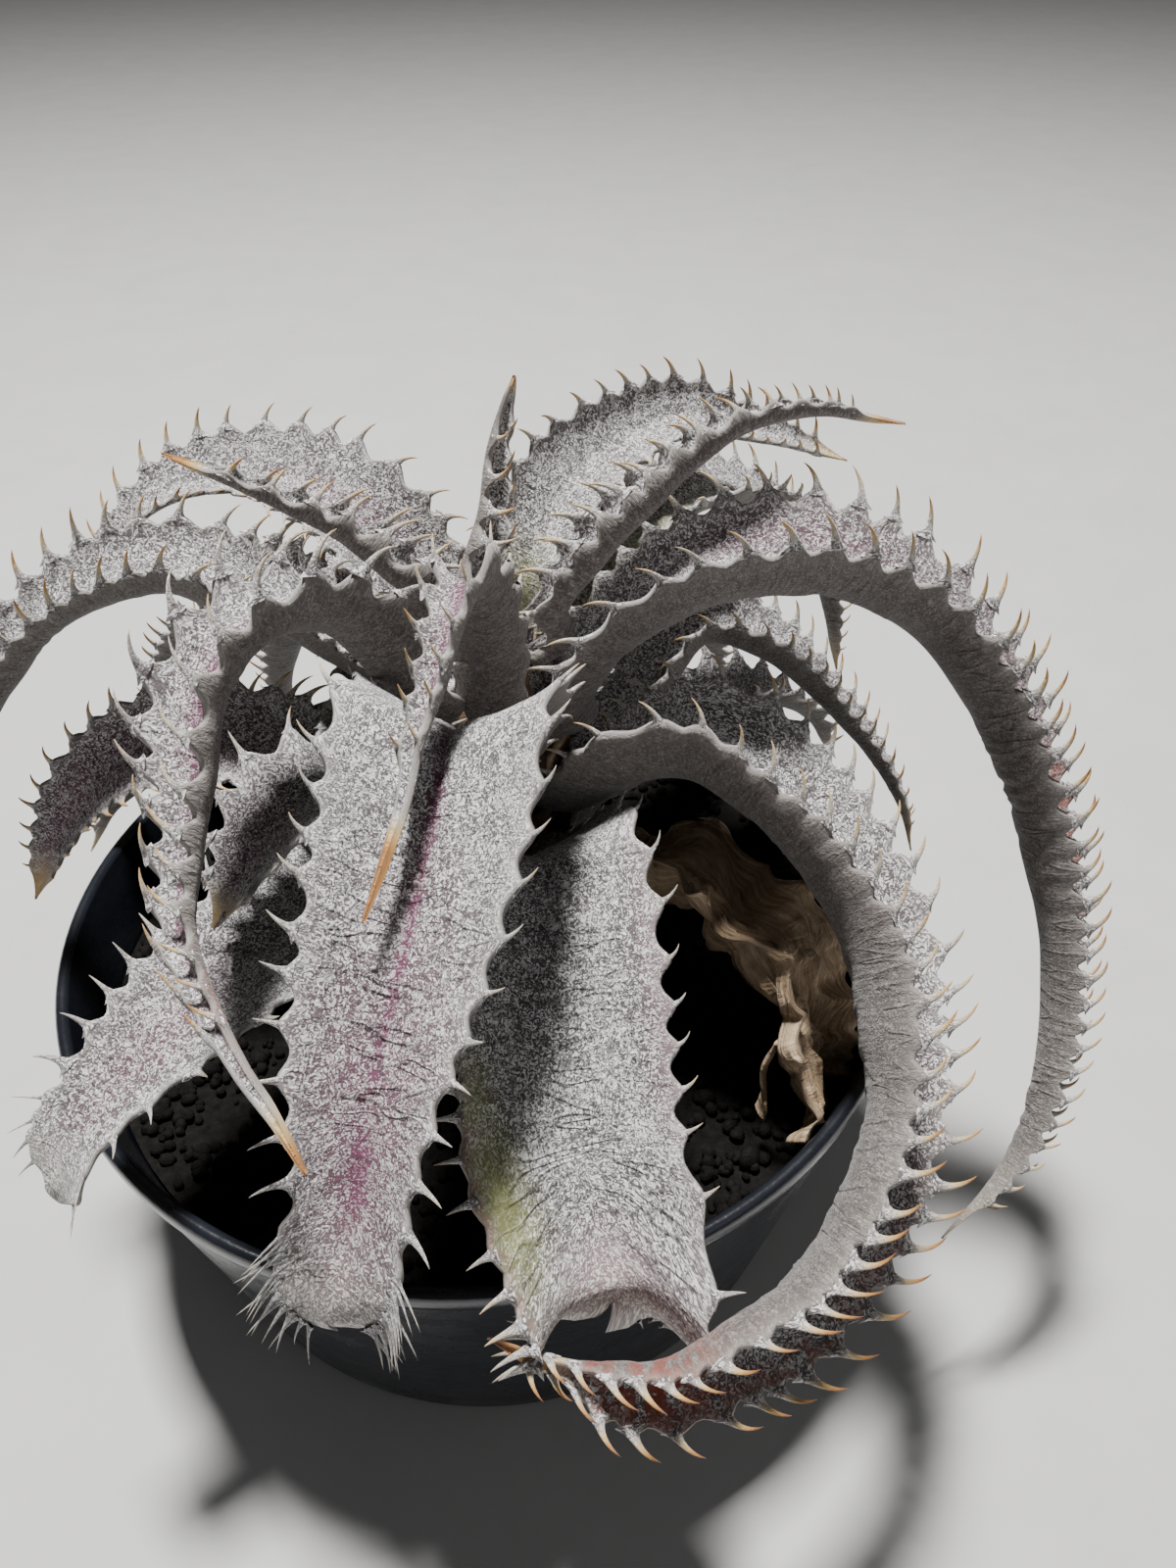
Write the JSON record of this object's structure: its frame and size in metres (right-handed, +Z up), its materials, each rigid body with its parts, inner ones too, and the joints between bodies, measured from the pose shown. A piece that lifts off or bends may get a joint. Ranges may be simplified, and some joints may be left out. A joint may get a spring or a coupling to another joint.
{
  "type": "potted dyckia",
  "caption": "Rosette of arching channelled silver leaves with hooked spines along both edges, rooted in dark soil in a low round tapered pot.",
  "frame": {"origin": "centre of the underside of the pot", "axes": "+Z up through the pot, -Y towards the viewer of the picture, +X to the viewer's right"},
  "size_m": [0.1936, 0.1794, 0.1611],
  "materials": {
    "leaf_silver": "matt leaf skin covered in fine white scales",
    "leaf_tan": "dry withered leaf",
    "stem_brown": "short woody stem with old leaf bases",
    "soil_dark": "dark gritty potting mix",
    "pot_black": "satin black"
  },
  "bodies": {
    "root": {"leaf_back_centre": "leaf_silver", "leaf_back_left": "leaf_silver", "leaf_back_left_fan": "leaf_silver", "leaf_back_right": "leaf_silver", "leaf_back_right_fan": "leaf_silver", "leaf_behind_right": "leaf_silver", "leaf_centre_front": "leaf_silver", "leaf_dry": "leaf_tan", "leaf_front_left": "leaf_silver", "leaf_front_right": "leaf_silver", "leaf_left_back": "leaf_silver", "leaf_left_hanging": "leaf_silver", "leaf_left_hook": "leaf_silver", "leaf_left_under": "leaf_silver", "leaf_left_wide": "leaf_silver", "leaf_low_left": "leaf_silver", "leaf_mid_left": "leaf_silver", "leaf_right_arch": "leaf_silver", "leaf_right_back": "leaf_silver", "leaf_right_sweep": "leaf_silver", "leaf_right_under": "leaf_silver", "leaf_slender_left": "leaf_silver", "leaf_slender_right": "leaf_silver", "leaf_spear": "leaf_silver", "pot": "pot_black", "soil": "soil_dark", "stem": "stem_brown"}
  },
  "joints": []
}
